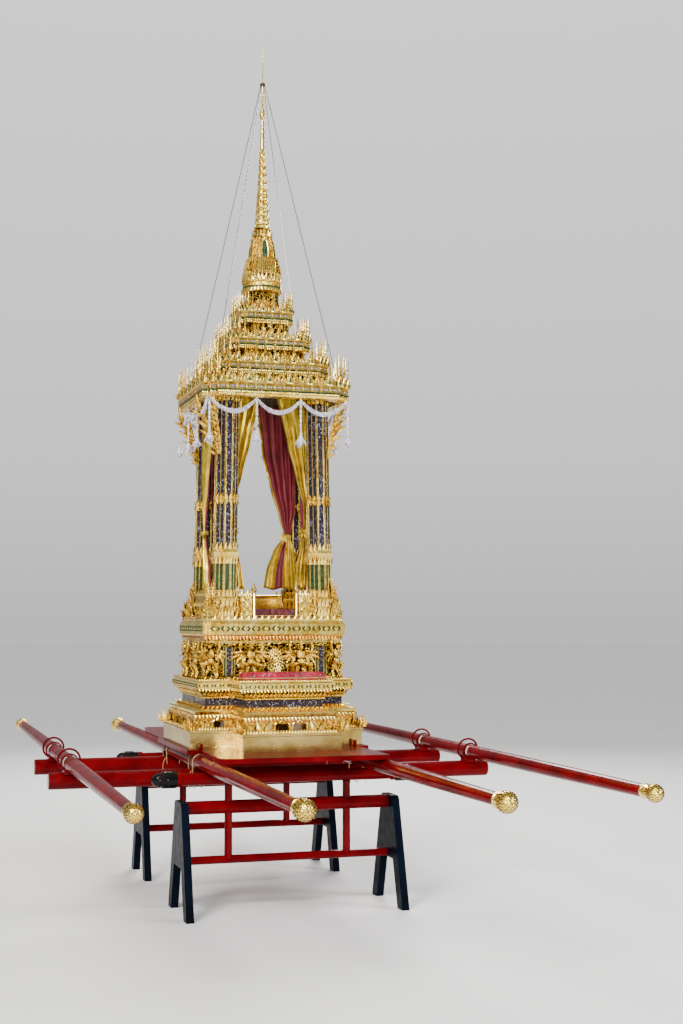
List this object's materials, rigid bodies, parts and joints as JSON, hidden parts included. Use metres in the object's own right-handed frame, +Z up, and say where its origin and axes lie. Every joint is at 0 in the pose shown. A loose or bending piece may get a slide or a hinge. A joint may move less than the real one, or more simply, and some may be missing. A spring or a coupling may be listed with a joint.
{
  "type": "ceremonial spired palanquin on trestles",
  "caption": "Gilded spired pavilion with an open curtained throne room, carried on lacquered poles and cross beams, parked on two A-frame trestles",
  "frame": {"origin": "on the floor, below the middle of the palanquin", "axes": "+X is the palanquin's own left-to-right as seen from the front, -Y is the front, along the carrying poles, and +Z is up the spire"},
  "size_m": [2.636, 5.48, 5.22],
  "materials": {
    "red_lacquer": "deep red lacquer, high gloss",
    "black_lacquer": "blue-black lacquer, satin",
    "gold_leaf": "carved wood under bright gold leaf",
    "gilded_plate": "plain gilded sheet, softly polished",
    "glass_mosaic": "blue and violet mirror-glass mosaic between gilt edges, on wood",
    "gold_satin": "gold satin with a crimson lining",
    "crimson_velvet": "crimson velvet",
    "white_flowers": "threaded white and lilac blossoms",
    "stay_wire": "thin twisted wire"
  },
  "bodies": {
    "palanquin": {"trestle_frame_front_left": "black_lacquer", "trestle_frame_front_right": "black_lacquer", "trestle_frame_back_left": "black_lacquer", "trestle_frame_back_right": "black_lacquer", "trestle_ladder_front": "red_lacquer", "trestle_ladder_back": "red_lacquer", "cross_tube_front": "red_lacquer", "cross_tube_back": "red_lacquer", "short_beam_front": "red_lacquer", "short_beam_back": "red_lacquer", "pole_ring_front_left": "red_lacquer", "pole_ring_front_right": "red_lacquer", "pole_ring_back_left": "red_lacquer", "pole_ring_back_right": "red_lacquer", "inner_pole_left": "red_lacquer", "inner_pole_right": "red_lacquer", "finial_inner_front_left": "gold_leaf", "finial_inner_front_right": "gold_leaf", "finial_inner_back_left": "gold_leaf", "finial_inner_back_right": "gold_leaf", "deck_board": "red_lacquer", "plinth": "gilded_plate", "gallery": "gold_leaf", "base_cornice": "gold_leaf", "step_cushion": "crimson_velvet", "guardian_frieze": "gold_leaf", "throne_platform": "gold_leaf", "rail_panel_front_left": "gold_leaf", "rail_panel_front_right": "gold_leaf", "rail_panel_side_left": "gold_leaf", "rail_panel_side_right": "gold_leaf", "gate_post_left": "gilded_plate", "gate_post_right": "gilded_plate", "backrest": "gilded_plate", "seat_cushion": "crimson_velvet", "column_front_left": "glass_mosaic", "column_front_right": "glass_mosaic", "column_back_left": "glass_mosaic", "column_back_right": "glass_mosaic", "curtain_front_left": "gold_satin", "curtain_front_right": "gold_satin", "curtain_back_left": "gold_satin", "curtain_back_right": "gold_satin", "roof_eave": "gold_leaf", "roof_tier_2": "gold_leaf", "roof_tier_3": "gold_leaf", "roof_tier_4": "gold_leaf", "roof_tier_5": "gold_leaf", "roof_bell": "gold_leaf", "spire": "gold_leaf", "spire_stays": "stay_wire", "flower_garland": "white_flowers"},
    "outer_pole_left_body": {"outer_pole_left": "red_lacquer", "finial_outer_front_left": "gold_leaf", "finial_outer_back_left": "gold_leaf"},
    "outer_pole_right_body": {"outer_pole_right": "red_lacquer", "finial_outer_front_right": "gold_leaf", "finial_outer_back_right": "gold_leaf"}
  },
  "joints": [
    {"name": "outer_pole_left_slide", "type": "slide", "parent": "palanquin", "child": "outer_pole_left_body", "axis": [0, 1, 0], "range_m": [-0.42, 0.42]},
    {"name": "outer_pole_right_slide", "type": "slide", "parent": "palanquin", "child": "outer_pole_right_body", "axis": [0, 1, 0], "range_m": [-0.42, 0.42]}
  ]
}
